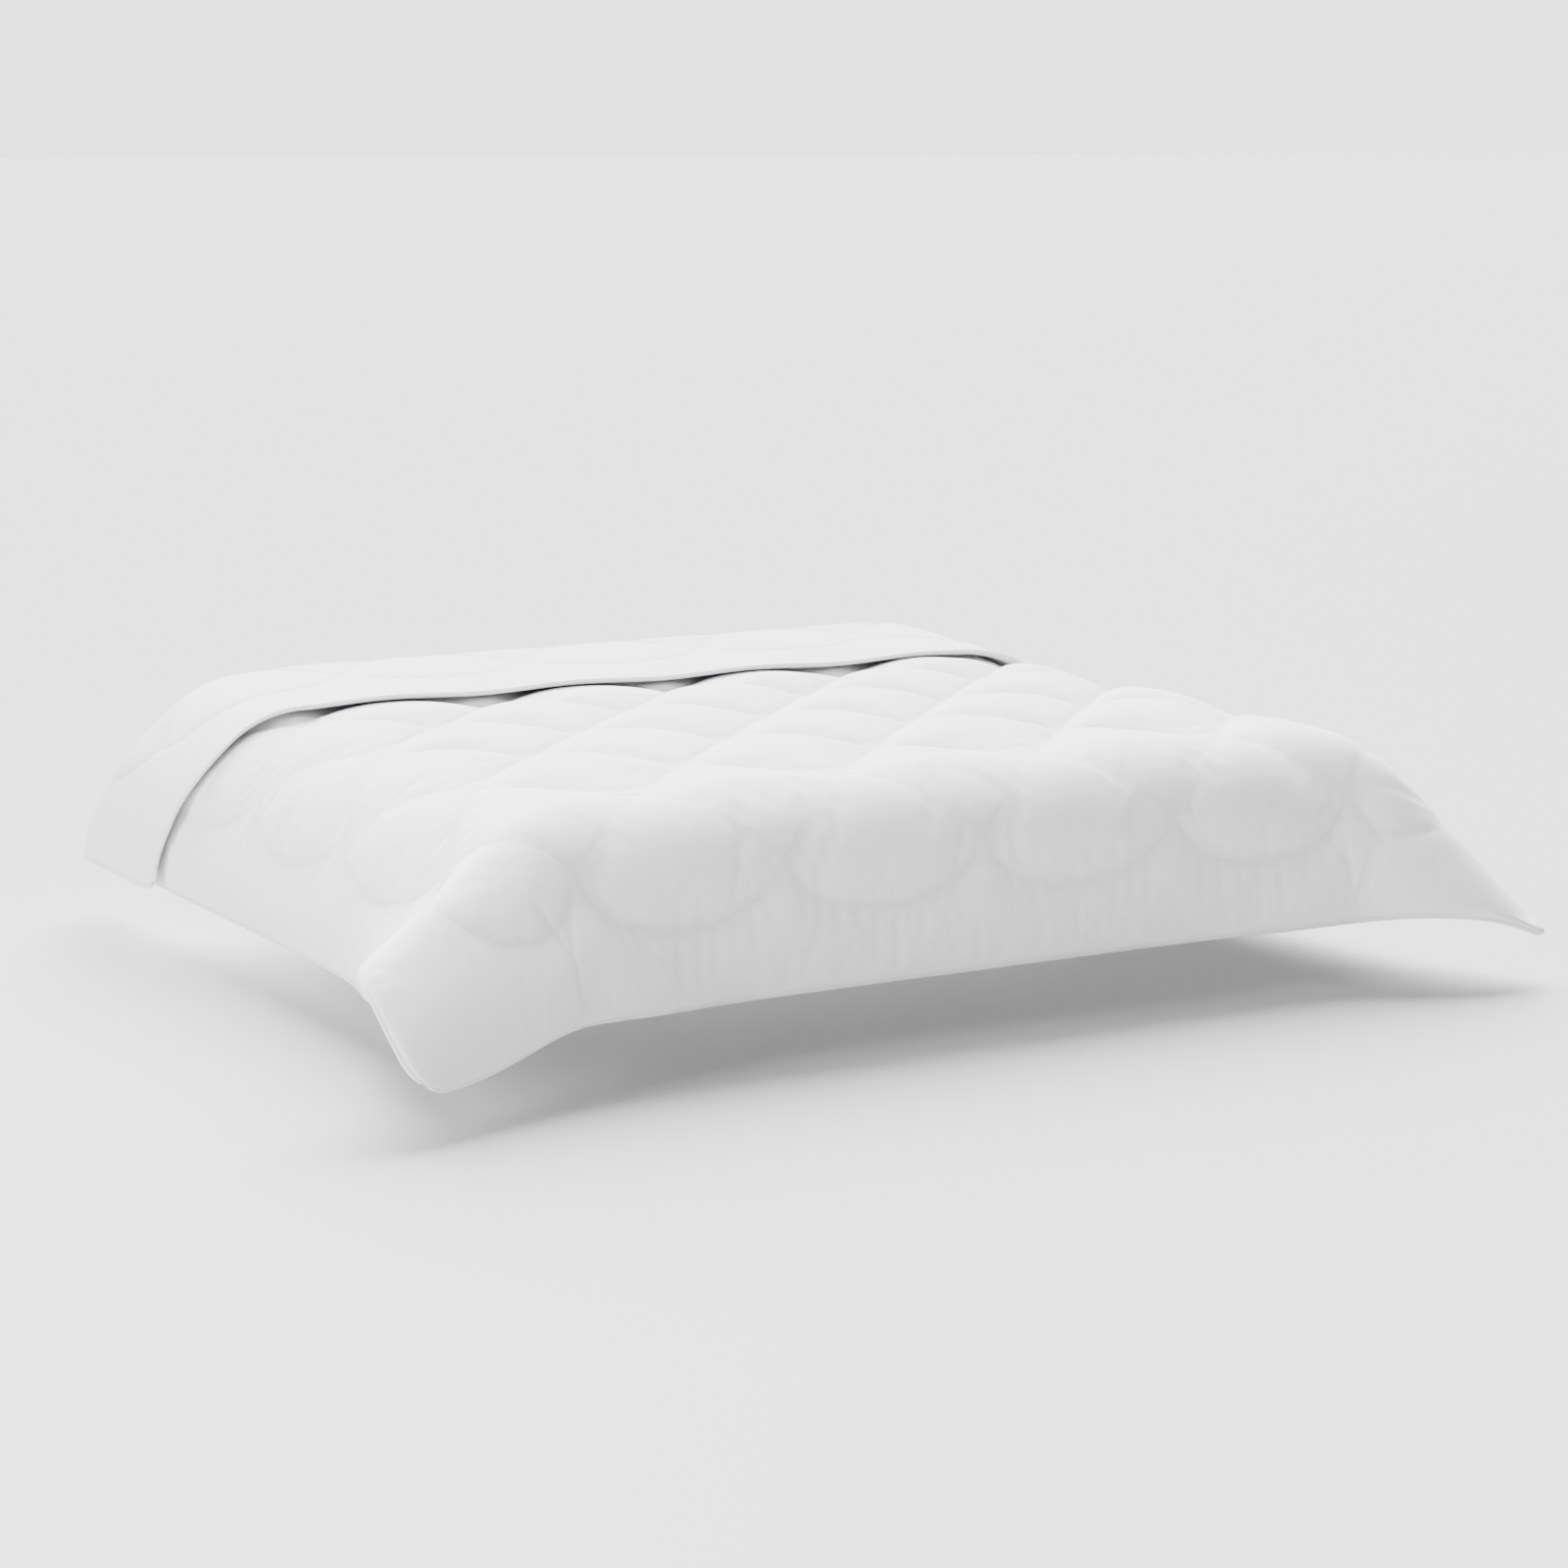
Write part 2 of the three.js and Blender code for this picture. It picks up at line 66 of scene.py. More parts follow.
# ---- Drape. A RUN is the flat places, from and to, over which something comes in ----
# The real cloth bridges the mattress edge in a wider bend than the CAD solid's.
SIDE_BEND = 0.190
RIGHT_WIDENING = 0.060  # of the right side's bend, towards the head
WIDENING_RUN = (0.45, 1.00)
CORNER_BEND = 0.085
FOOT_BEND = 0.120
HEM_DROP = 0.316  # of the side hems below the mattress top
FOOT_HEM_DROP = 0.312
HANG_LEAN = 0.03  # of all the hanging cloth from the vertical, in radians
WING_RUN = (0.60, 0.98)
FREE_EDGE_HEIGHT = 0.044  # of the flap's outer side at its free edge, on the bed
WAVE_DEPTH = 0.006  # of the free edge's waves, one to a diamond
WAVE_REACH = 0.10  # of those waves into the flap
HEM_DRIFT = 0.190  # of the flap's corners towards the head
FOLD_DRIFT = 0.035  # of the fold's ends, beyond that
DRIFT_START = 0.90
HEAD_SHIFT = 0.045  # of the head end towards the foot
CORNER_ROUNDING = 0.045

# ---- Heights over the flat underside ----
SEAM_TOP = 0.0085  # of the face on a seam
SEAM_LIFT = 0.0045  # of the backing on a seam
FLAP_SEAM_SINK = 0.0065  # how far a seam sinks in the flap's outer side
SINK_RUN = (FOLD_END - 0.03, FOLD_END + 0.06)
TOP_LOFT = 0.041
DROP_LOFT = 0.0165
CORNER_LOFT = 0.013
FLAP_LOFT = 0.024
WING_LOFT = 0.016
FOLD_LOFT = 0.017
WING_FOLD_LOFT = 0.0105
BORDER_LOFT = 0.0125
HEM_THICKNESS = 0.006
LEAST_THICKNESS = 0.002
POCKET_VARIETY = 0.10  # share by which pockets differ in loft
BED_RUN = (0.40, 0.68)  # from the foot hem to the mattress
SHOULDER_RUN = (0.64, 0.86)  # from the mattress to a side
CORNER_SIDE_RUN = (0.80, 0.92)
CORNER_FOOT_RUN = (0.34, 0.46)
FOLD_RUN = (0.045, 0.09)  # from the fold's middle

# ---- Fine grid ----
CELL_STEPS = 12  # grid steps to a quarter of a diamond's diagonal
FINE = PITCH / CELL_STEPS
SNAP = 0.49 * FINE  # places nearer than this to the scalloped seam move onto it
RUN_STEPS = 400  # points to one scallop of the border seam
ON_SEAM = 1e-4
SOFTENING_ROUNDS = 60
SOFT_SIDE_RUN = (0.56, 0.68)
SOFT_FOOT_RUN = (0.44, 0.56)

# ---- Scalloped seam ----
SCALLOP_DEPTH = 0.102
LOBE_POWER = 0.62
# The arc round a foot corner: its middle's way in from the field's corner, and its ends'
# way from its middle, in quilting steps.
ARC_INSET = 0.6
ARC_END = 1.4
CORNER_ARC = math.hypot(ARC_END * PITCH, ARC_INSET * PITCH)

# ---- Cloth simulation ----
SIMULATED_FRAMES = 10
PRESSURE = 2.0
GROWTH = 0.008
MOST_MOVE = 0.010
STILL_RUN = (FREE_EDGE, FREE_EDGE + 0.06)  # the cloth under the flap keeps still
HELD_RIM = 0.004  # width of the hem that keeps still too


def smooth(value, low, high):
    share = np.clip((value - low) / (high - low), 0.0, 1.0)
    return share * share * (3 - 2 * share)


NOISE_OCTAVES = 3
NOISE_WAVES = 5  # to an octave
NOISE_PITCHES = (0.7, 1.4)
NOISE_RANGE = 1.6  # times its usual size, which brings it within about -1 and 1


def smoother_noise(x, y, seed):
    """Smooth noise from a few seeded plane waves, between about -1 and 1."""
    rng = np.random.default_rng(seed)
    total = np.zeros_like(x)
    weight = 0.0
    for octave in range(NOISE_OCTAVES):
        scale = 2.0 ** octave
        for _ in range(NOISE_WAVES):
            angle = rng.uniform(0, 2 * math.pi)
            phase = rng.uniform(0, 2 * math.pi)
            pitch = scale * rng.uniform(*NOISE_PITCHES)
            along = x * math.cos(angle) + y * math.sin(angle)
            total += np.sin(2 * math.pi * pitch * along + phase) / scale
        weight += math.sqrt(NOISE_WAVES / 2) / scale
    return total / weight / NOISE_RANGE


# ------------------------------------------------------------------ camera, light, floor
LENS = 85.0
SENSOR = 36.0
CAMERA_PLACE = (-3.311, -6.110, 1.064)
CAMERA_YAW = math.radians(30)  # to the right of straight towards the head
CAMERA_PITCH = math.radians(10)  # downwards
SUN_STRENGTH = 20.0
SUN_SIZE = math.radians(60)
SUN_DIRECTION = (-0.40, -0.85, -1.0)
FILL_PLACE = (-5.0, -1.5, 2.2)
FILL_TARGET = (0, -0.4, -0.1)
FILL_SIZE = (3.0, 2.5)
FILL_POWER = 420
WALL_BRIGHTNESS = 2.8  # of the studio near the horizon
SKY_BRIGHTNESS = 0.32
WALL_TOP = (0.04, 0.22)  # rise of a direction, over which the wall turns to sky
FLOOR_HEIGHT = -0.43
FLOOR_REACH = 200.0
FLOOR_COLOUR = (0.5, 0.5, 0.5, 1)
FLOOR_ROUGHNESS = 0.9


def add_aimed(name, data, place, direction):
    """Adds a camera or a lamp that looks in a direction."""
    made = bpy.data.objects.new(name, data)
    bpy.context.scene.collection.objects.link(made)
    made.location = place
    made.rotation_mode = "QUATERNION"
    made.rotation_quaternion = Vector(direction).to_track_quat("-Z", "Y")
    return made


def make_camera():
    data = bpy.data.cameras.new("camera")
    data.lens = LENS
    data.sensor_width = SENSOR
    data.sensor_fit = "HORIZONTAL"
    level = math.cos(CAMERA_PITCH)
    looking = (math.sin(CAMERA_YAW) * level, math.cos(CAMERA_YAW) * level, -math.sin(CAMERA_PITCH))
    bpy.context.scene.camera = add_aimed("camera", data, CAMERA_PLACE, looking)


def make_lamps():
    """A wide soft light from behind on the right, and a weaker one from the left."""
    sun = bpy.data.lights.new("sky", "SUN")
    sun.energy = SUN_STRENGTH
    sun.angle = SUN_SIZE
    add_aimed("sky", sun, (0, 0, 0), SUN_DIRECTION)
    fill = bpy.data.lights.new("fill", "AREA")
    fill.shape = "RECTANGLE"
    fill.size, fill.size_y = FILL_SIZE
    fill.energy = FILL_POWER
    add_aimed("fill", fill, FILL_PLACE, Vector(FILL_TARGET) - Vector(FILL_PLACE))


def make_studio():
    """White walls as bright as the floor, which turn to a dimmer sky higher up."""
    world = bpy.data.worlds.new("studio")
    world.use_nodes = True
    nodes, links = world.node_tree.nodes, world.node_tree.links
    background = nodes["Background"]
    background.inputs["Color"].default_value = (1, 1, 1, 1)
    direction = nodes.new("ShaderNodeTexCoord")
    parts = nodes.new("ShaderNodeSeparateXYZ")
    links.new(direction.outputs["Generated"], parts.inputs["Vector"])
    fall = nodes.new("ShaderNodeMapRange")
    fall.interpolation_type = "SMOOTHSTEP"
    fall.inputs["From Min"].default_value = WALL_TOP[0]
    fall.inputs["From Max"].default_value = WALL_TOP[1]
    fall.inputs["To Min"].default_value = WALL_BRIGHTNESS
    fall.inputs["To Max"].default_value = SKY_BRIGHTNESS
    links.new(parts.outputs["Z"], fall.inputs["Value"])
    links.new(fall.outputs["Result"], background.inputs["Strength"])
    bpy.context.scene.world = world


def make_floor():
    around = [(-1, -1), (1, -1), (1, 1), (-1, 1)]
    corners = [(x * FLOOR_REACH, y * FLOOR_REACH, FLOOR_HEIGHT) for x, y in around]
    mesh = bpy.data.meshes.new("floor")
    mesh.from_pydata(corners, [], [(0, 1, 2, 3)])
    floor = bpy.data.objects.new("floor", mesh)
    bpy.context.scene.collection.objects.link(floor)
    material = bpy.data.materials.new("floor")
    material.use_nodes = True
    shader = material.node_tree.nodes["Principled BSDF"]
    shader.inputs["Base Color"].default_value = FLOOR_COLOUR
    shader.inputs["Roughness"].default_value = FLOOR_ROUGHNESS
    mesh.materials.append(material)


make_camera()
make_lamps()
make_studio()
make_floor()


# ------------------------------------------------------------------ drape
def over_edge(distance, radius, turn):
    """Way out and drop of cloth that bends over an edge and turns by an angle."""
    arc = radius * turn
    angle = np.clip(distance / radius, 0, turn)
    straight = np.maximum(distance - arc, 0)
    out = np.where(distance <= 0, distance, radius * np.sin(angle) + straight * np.cos(turn))
    drop = np.where(distance <= 0, 0, radius * (1 - np.cos(angle)) + straight * np.sin(turn))
    return out, drop


RIGHT_ANGLE = math.pi / 2
# Each foot corner swings out in a fin. Leans from the vertical, in radians: at the side,
# at the foot and what the crest adds; the crest's heading from the side and its width;
# how the side's run-out turns and the tip swings to the side; how far the leans run along
# the side and the foot; what is added to the cloth's reach.
CORNERS = {
    -1: dict(side=0.58, foot=0.27, crest=0.56, heading=0.44, width=0.38, turn=0.06,
             swing=0.05, side_run=0.22, foot_run=0.15, longer=0.066),
    1: dict(side=0.28, foot=0.24, crest=0.47, heading=0.70, width=0.50, turn=0.02,
            swing=0.0, side_run=0.20, foot_run=0.17, longer=0.05),
}
CORNER_DELAY = 0.08  # how much later the cloth starts to fall on the diagonal
CREST_POWER = 1.5
CREST_END = 0.35  # heading from the foot at which the crest has gone
TURN_END = 0.6  # heading from the side at which its turn has gone
SLOPE_STEP = 0.004  # between the places that give the cloth's slopes


def corner_lean(corner, heading):
    rising = np.sin(np.clip(heading / corner["heading"], 0, 1) * RIGHT_ANGLE) ** CREST_POWER
    past = (heading - corner["heading"]) / corner["width"]
    falling = np.exp(-past ** 2) * smooth(RIGHT_ANGLE - heading, 0, CREST_END)
    crest = corner["crest"] * np.where(heading < corner["heading"], rising, falling)
    share = smooth(heading, 0, RIGHT_ANGLE)
    return corner["side"] * (1 - share) + corner["foot"] * share + crest + HANG_LEAN


def lower_place(s, t):
    """Underside of the layer that lies on the bed."""
    side = np.where(s < 0, -1.0, 1.0)
    side_bend = SIDE_BEND + RIGHT_WIDENING * smooth(t, *WIDENING_RUN) * (s > 0)
    bed_side, bed_foot = SIDE_PLANE - side_bend, FOOT_PLANE - FOOT_BEND
    foot_flat = FOOT_OVERHANG + FOOT_BEND - EDGE_RADIUS
    side_scale = (HEM_DROP - side_bend + side_bend * RIGHT_ANGLE) / (HALF_WIDTH - bed_side)
    foot_scale = (FOOT_HEM_DROP - FOOT_BEND + FOOT_BEND * RIGHT_ANGLE) / foot_flat
    beyond_side = (np.abs(s) - bed_side) * side_scale
    beyond_foot = (foot_flat - t) * foot_scale
    on_side, on_foot = beyond_side > 0, beyond_foot > 0
    x = s.copy()
    y = t - foot_flat - bed_foot
    z = np.zeros_like(s)
    for sign in (-1, 1):
        corner = CORNERS[sign]
        here = side == sign

        share = np.exp(-(np.clip(-beyond_foot, 0, None) / corner["side_run"]) ** 2)
        lean = corner["side"] * share + HANG_LEAN
        out, drop = over_edge(beyond_side, side_bend, RIGHT_ANGLE - lean)
        way = corner["turn"] * share
        place = here & on_side & ~on_foot
        x = np.where(place, sign * (bed_side + out * np.cos(way)), x)
        y = np.where(place, y - out * np.sin(way), y)
        z = np.where(place, -drop, z)

        share = np.exp(-(np.clip(-beyond_side, 0, None) / corner["foot_run"]) ** 2)
        lean = corner["foot"] * share + HANG_LEAN
        out, drop = over_edge(beyond_foot, FOOT_BEND, RIGHT_ANGLE - lean)
        place = here & on_foot & ~on_side
        y = np.where(place, -bed_foot - out, y)
        z = np.where(place, -drop, z)

        reach = np.hypot(np.maximum(beyond_side, 0), np.maximum(beyond_foot, 0))
        heading = np.arctan2(np.maximum(beyond_foot, 0), np.maximum(beyond_side, 1e-9))
        lean = corner_lean(corner, heading)
        diagonal = np.sin(2 * heading) ** 2
        turn = corner["turn"] * (1 - smooth(heading, 0, TURN_END))
        way = heading + turn - corner["swing"] * diagonal
        radius = side_bend + (FOOT_BEND - side_bend) * smooth(heading, 0, RIGHT_ANGLE)
        radius = radius + (CORNER_BEND - radius) * diagonal
        delay = CORNER_DELAY * diagonal
        far = reach * (1 + corner["longer"] * diagonal) - delay
        out, drop = over_edge(far, radius, RIGHT_ANGLE - lean)
        out = out + delay
        place = here & on_side & on_foot
        x = np.where(place, sign * (bed_side + out * np.cos(way)), x)
        y = np.where(place, -bed_foot - out * np.sin(way), y)
        z = np.where(place, -drop, z)
    return np.stack([x, y, z], axis=-1)


def unit(v):
    return v / np.maximum(np.linalg.norm(v, axis=-1, keepdims=True), 1e-12)


def lower_out(s, t):
    """Outward direction of the same cloth, from its own slopes."""
    across = lower_place(s + SLOPE_STEP, t) - lower_place(s - SLOPE_STEP, t)
    along = lower_place(s, t + SLOPE_STEP) - lower_place(s, t - SLOPE_STEP)
    return unit(np.cross(across, along))


def drape(s, t):
    """Underside of the draped duvet at a flat place, and the way its face lies."""
    fold = (t > FOLD_START) & (t < FOLD_END)
    upper = t >= FOLD_END
    flat = np.where(upper, FOLD_START - (t - FOLD_END), np.minimum(t, FOLD_START))
    place, out = lower_place(s, flat), lower_out(s, flat)
    hanging = smooth(np.abs(s), *WING_RUN)
    sunk = FLAP_HEIGHT + (FREE_EDGE_HEIGHT - FLAP_HEIGHT) * smooth(t, FOLD_END, LENGTH)
    crest = 0.5 - 0.5 * np.cos(2 * math.pi * s / (4 * PITCH))
    sunk = sunk - WAVE_DEPTH * (1 - crest) * smooth(t, LENGTH - WAVE_REACH, LENGTH)
    standoff = (sunk + (WING_STANDOFF - sunk) * hanging)[..., None]
    high = place + out * standoff
    turn = np.clip((t - FOLD_START) / (FOLD_END - FOLD_START), 0, 1)[..., None] * math.pi
    middle = (place + high) / 2
    arm = (place - high) / 2
    bent = middle + arm * np.cos(turn)
    bent[..., 1:2] += np.linalg.norm(arm, axis=-1, keepdims=True) * np.sin(turn)
    bent_out = out * np.cos(turn)
    bent_out[..., 1:2] -= np.sin(turn)
    where = np.where(upper[..., None], high, np.where(fold[..., None], bent, place))
    facing = np.where(upper[..., None], -out, np.where(fold[..., None], bent_out, out))
    hem_drift = HEM_DRIFT + FOLD_DRIFT * (1 - smooth(t, FOLD_END, LENGTH))
    to_fold = smooth(t, FOLD_START / 2, FOLD_START)
    drift = hem_drift * smooth(np.abs(s), DRIFT_START, HALF_WIDTH) * to_fold
    where[..., 1] += drift - HEAD_SHIFT * to_fold
    return where, facing


def blurred(field, weight):
    """Evens a field out over the grid, where the weight says so; its rim only along itself."""
    field = field.copy()
    for _ in range(SOFTENING_ROUNDS):
        along = field.copy()
        along[:, 1:-1] = (field[:, :-2] + 2 * field[:, 1:-1] + field[:, 2:]) / 4
        both = along.copy()
        both[1:-1] = (along[:-2] + 2 * along[1:-1] + along[2:]) / 4
        field += (both - field) * weight
    return field


def make_softening():
    """How the drape's place and facing change when it is evened out round the foot corners."""
    s, t = grid()
    weight = (smooth(np.abs(s), *SOFT_SIDE_RUN) * (1 - smooth(t, *SOFT_FOOT_RUN)))[..., None]
    fields = np.concatenate(drape(s, t), axis=-1)
    return s[0], t[:, 0], blurred(fields, weight) - fields


def soft_drape(s, t):
    """The drape with its foot corners evened out."""
    columns, rows, change = SOFTENING
    column = np.clip(np.interp(s, columns, np.arange(len(columns))), 0, len(columns) - 1.001)
    row = np.clip(np.interp(t, rows, np.arange(len(rows))), 0, len(rows) - 1.001)
    c, r = column.astype(int), row.astype(int)
    u, w = (column - c)[..., None], (row - r)[..., None]
    near = change[r, c] * (1 - u) + change[r, c + 1] * u
    far = change[r + 1, c] * (1 - u) + change[r + 1, c + 1] * u
    change_here = near * (1 - w) + far * w
    place, facing = drape(s, t)
    return place + change_here[..., :3], unit(facing + change_here[..., 3:])


# ------------------------------------------------------------------ quilting pattern
def lobe(share):
    """Outline of a scallop: 0 at its cusps, 1 at its middle."""
    return np.clip(1 - share ** 2, 0, 1) ** LOBE_POWER


def lattice_distance(s, v, slope):
    """Distance to the nearest quilting line of one family, which ends at the field."""
    best = np.full_like(s, np.inf)
    gap = 4 * PITCH
    level = np.round((s + slope * v) / gap)
    for shift in (-1, 0, 1):
        target = (level + shift) * gap
        miss = (s + slope * v - target) / 2
        left_v, right_v = (target - FIELD_HALF) * slope, (target + FIELD_HALF) * slope
        low_v = np.maximum(0.0, np.minimum(left_v, right_v))
        high_v = np.minimum(FIELD_LENGTH, np.maximum(left_v, right_v))
        held_v = np.clip(v - slope * miss, low_v, high_v)
        held_s = target - slope * held_v
        distance = np.hypot(s - held_s, v - held_v)
        usable = low_v <= high_v
        best = np.where(usable & (distance < best), distance, best)
    return best


def scallop_runs():
    """The scalloped seam round the field, as runs of closely set flat points."""
    share = -np.cos(np.linspace(0, math.pi, RUN_STEPS))
    along = 2 * (share + 1)
    depth = SCALLOP_DEPTH * lobe(share)
    runs = []
    for cusp in range(-8, 8, 4):
        runs.append(np.stack([(cusp + along) * PITCH, -depth], -1))
    for cusp in range(-SIDE_STEPS, SIDE_STEPS, 4):
        runs.append(np.stack([(cusp + along) * PITCH, FIELD_LENGTH + depth], -1))
    first, last = math.atan2(-ARC_INSET, -ARC_END), math.atan2(ARC_END, ARC_INSET)
    angle = np.linspace(first, last, 2 * RUN_STEPS)
    corner_s = FIELD_HALF - ARC_INSET * PITCH + CORNER_ARC * np.cos(angle)
    corner_v = ARC_INSET * PITCH + CORNER_ARC * np.sin(angle)
    for sign in (-1, 1):
        for cusp in range(2, HEAD_STEPS, 4):
            runs.append(np.stack([sign * (FIELD_HALF + depth), (cusp + along) * PITCH], -1))
        runs.append(np.stack([sign * corner_s, corner_v], -1))
    return runs


def inside_field(s, v):
    """Whether a flat place lies inside the scalloped seam."""
    a = np.abs(s)
    inside = (a <= FIELD_HALF) & (v >= 0) & (v <= FIELD_LENGTH)
    foot_share = ((s / PITCH) % 4) / 2 - 1
    foot = (v < 0) & (a < 8 * PITCH) & (-v < SCALLOP_DEPTH * lobe(foot_share))
    head_share = (((s / PITCH) + 10) % 4) / 2 - 1
    past_head = v - FIELD_LENGTH
    head = (past_head > 0) & (a < FIELD_HALF) & (past_head < SCALLOP_DEPTH * lobe(head_share))
    side_share = (((v / PITCH) - 2) % 4) / 2 - 1
    past_side = a - FIELD_HALF
    beside = (v > 2 * PITCH) & (v < FIELD_LENGTH)
    sides = (past_side > 0) & beside & (past_side < SCALLOP_DEPTH * lobe(side_share))
    in_corner = (a > 8 * PITCH) & (v < 2 * PITCH)
    from_middle = np.hypot(past_side + ARC_INSET * PITCH, v - ARC_INSET * PITCH)
    return inside | foot | head | sides | (in_corner & (from_middle < CORNER_ARC))


def onto_seam(s, v):
    """Moves the grid's places next to the scalloped seam onto it; gives all their distances."""
    points = np.concatenate(scallop_runs())
    tree = kdtree.KDTree(len(points))
    for index, (a, b) in enumerate(points):
        tree.insert((a, b, 0), index)
    tree.balance()
    found = [tree.find((a, b, 0)) for a, b in zip(s.ravel(), v.ravel())]
    nearest = points[[index for _, index, _ in found]].reshape(*s.shape, 2)
    distance = np.array([away for _, _, away in found]).reshape(s.shape)
    near = distance < SNAP
    moved_s = np.where(near, nearest[..., 0], s)
    moved_v = np.where(near, nearest[..., 1], v)
    return moved_s, moved_v, np.where(near, 0, distance)


def swell(distance, width, power):
    """0 on a seam, 1 from a given distance, rising steeply first."""
    share = np.clip(distance / width, 0, 1)
    return (share * (2 - share)) ** power


def grid():
    """Flat places of the grid's columns and rows."""
    side = np.linspace(FIELD_HALF, HALF_WIDTH, round(SIDE_BORDER / FINE) + 1)[1:]
    half = np.concatenate([np.arange(0, SIDE_STEPS * CELL_STEPS + 1) * FINE, side])
    columns = np.concatenate([-half[:0:-1], half])
    foot = np.linspace(0, FOOT_BORDER, round(FOOT_BORDER / FINE) + 1)[:-1]
    field = FOOT_BORDER + np.arange(0, HEAD_STEPS * CELL_STEPS + 1) * FINE
    head = np.linspace(FOOT_BORDER + FIELD_LENGTH, LENGTH, round(HEAD_BORDER / FINE) + 1)[1:]
    rows = np.concatenate([foot, field, head])
    return np.meshgrid(columns, rows)


def rounded(s, t):
    """Pulls the square grid in at the duvet's four rounded corners."""
    a = np.abs(s) - (HALF_WIDTH - CORNER_ROUNDING)
    low, high = CORNER_ROUNDING - t, t - (LENGTH - CORNER_ROUNDING)
    b = np.maximum(low, high)
    near = (a > 0) & (b > 0)
    square = np.maximum(a, b)
    scale = np.where(near, square / np.maximum(np.hypot(a, b), 1e-9), 1.0)
    new_a, new_b = a * scale, b * scale
    new_s = np.where(near, np.sign(s) * (new_a + HALF_WIDTH - CORNER_ROUNDING), s)
    at_head = np.where(near, new_b + LENGTH - CORNER_ROUNDING, t)
    new_t = np.where(near & (low > high), CORNER_ROUNDING - new_b, at_head)
    return new_s, new_t


# Gathers along the seams: a quilting line's two families differ in pitch, the border's
# seam has a finer one. LIFT is how high they stand, PEAK how far from the seam.
LINE_GATHER_PITCHES = (0.046, 0.051)
LINE_GATHER_PEAK = 0.018
LINE_GATHER_WIDTH = 0.020
LINE_GATHER_LIFT = 0.00015
BORDER_GATHER_PITCH = 0.034
BORDER_GATHER_PEAK = 0.020
BORDER_GATHER_WIDTH = 0.022
BORDER_GATHER_LIFT = 0.0003
UNEVEN_LIFT = 0.0012
# Upright folds under a scallop's lowest point, and fine ones that run out to the hem.
UPRIGHT_PITCH = 0.021
UPRIGHT_SHARE = 0.16  # of half a scallop
UPRIGHT_MIDDLE = 0.075
UPRIGHT_HALF = 0.035
UPRIGHT_LIFT = 0.0008
HEM_GATHER_PITCH = 0.030
HEM_GATHER_PEAK = 0.014
HEM_GATHER_WIDTH = 0.012
HEM_GATHER_LIFT = 0.0005


def beside(distance, peak, width):
    """1 at a distance from a seam, less on both sides of it."""
    return np.exp(-((distance - peak) / width) ** 2)


def wave(along, pitch, wander):
    return np.sin(2 * math.pi * along / pitch + wander)


def ripples(s, t, v, family_a, family_b, border, inside):
    """Little gathers that run out square to the seams, and soft unevenness of the filling."""
    along_a, along_b = (s - v) / math.sqrt(2), (s + v) / math.sqrt(2)
    wander = smoother_noise(s * 2.2, t * 2.2, 11)
    near_a = beside(family_a, LINE_GATHER_PEAK, LINE_GATHER_WIDTH)
    near_b = beside(family_b, LINE_GATHER_PEAK, LINE_GATHER_WIDTH)
    gather_a = wave(along_a, LINE_GATHER_PITCHES[0], 3.5 * wander) * near_a
    gather_b = wave(along_b, LINE_GATHER_PITCHES[1], 3.5 * wander + 1) * near_b
    strength = 0.55 + 0.45 * smoother_noise(s * 3.1, t * 3.1, 12)
    gathers = LINE_GATHER_LIFT * (gather_a + gather_b) * strength * inside
    near_border = beside(border, BORDER_GATHER_PEAK, BORDER_GATHER_WIDTH)
    along_border = np.where(np.abs(s) > FIELD_HALF - PITCH, v, s)
    border_gather = wave(along_border, BORDER_GATHER_PITCH, 4 * wander) * near_border
    border_strength = 0.5 + 0.5 * smoother_noise(s * 4, t * 4, 13)
    gathers += BORDER_GATHER_LIFT * border_gather * border_strength
    uneven = UNEVEN_LIFT * smoother_noise(s * 3.4, t * 3.4, 14) * inside
    return gathers + uneven


def hem_gathers(s, t, hem):
    """Upright folds in the plain border, strongest under each scallop's lowest point."""
    phase = np.abs(((s / PITCH) % 4) - 2) / 2
    under = np.exp(-(phase / UPRIGHT_SHARE) ** 2) * (t < FOOT_BORDER)
    fold = wave(s, UPRIGHT_PITCH, 0) * under * beside(t, UPRIGHT_MIDDLE, UPRIGHT_HALF)
    fine = wave(s + t, HEM_GATHER_PITCH, 5 * smoother_noise(s * 3, t * 3, 21))
    near_hem = beside(hem, HEM_GATHER_PEAK, HEM_GATHER_WIDTH)
    strength = 0.5 + 0.5 * smoother_noise(s * 5, t * 5, 22)
    return UPRIGHT_LIFT * fold + HEM_GATHER_LIFT * fine * near_hem * strength


# Creases by the foot corners, each from one flat place to another, in metres.
CREASES = [
    ((-0.795, 0.205), (-0.835, 0.105)),
    ((-0.880, 0.195), (-0.835, 0.105)),
    ((-0.835, 0.105), (-0.830, 0.045)),
    ((0.800, 0.245), (0.960, 0.215)),
    ((0.795, 0.235), (0.930, 0.155)),
    ((0.785, 0.225), (0.870, 0.105)),
]
CREASE_WIDTH = 0.009
CREASE_DEPTH = 0.0034
END_SHARE = 0.35  # of that depth at a crease's ends


def creases(s, t):
    """Folds pulled into the cloth by the hanging corners, deepest at their middles."""
    total = np.zeros_like(s)
    for (s0, t0), (s1, t1) in CREASES:
        length = math.hypot(s1 - s0, t1 - t0)
        along = ((s - s0) * (s1 - s0) + (t - t0) * (t1 - t0)) / length ** 2
        share = np.clip(along, 0, 1)
        away = np.hypot(s - s0 - share * (s1 - s0), t - t0 - share * (t1 - t0))
        deep = END_SHARE + (1 - END_SHARE) * np.sin(math.pi * share)
        total = np.maximum(total, np.exp(-(away / CREASE_WIDTH) ** 2) * deep)
    return CREASE_DEPTH * total


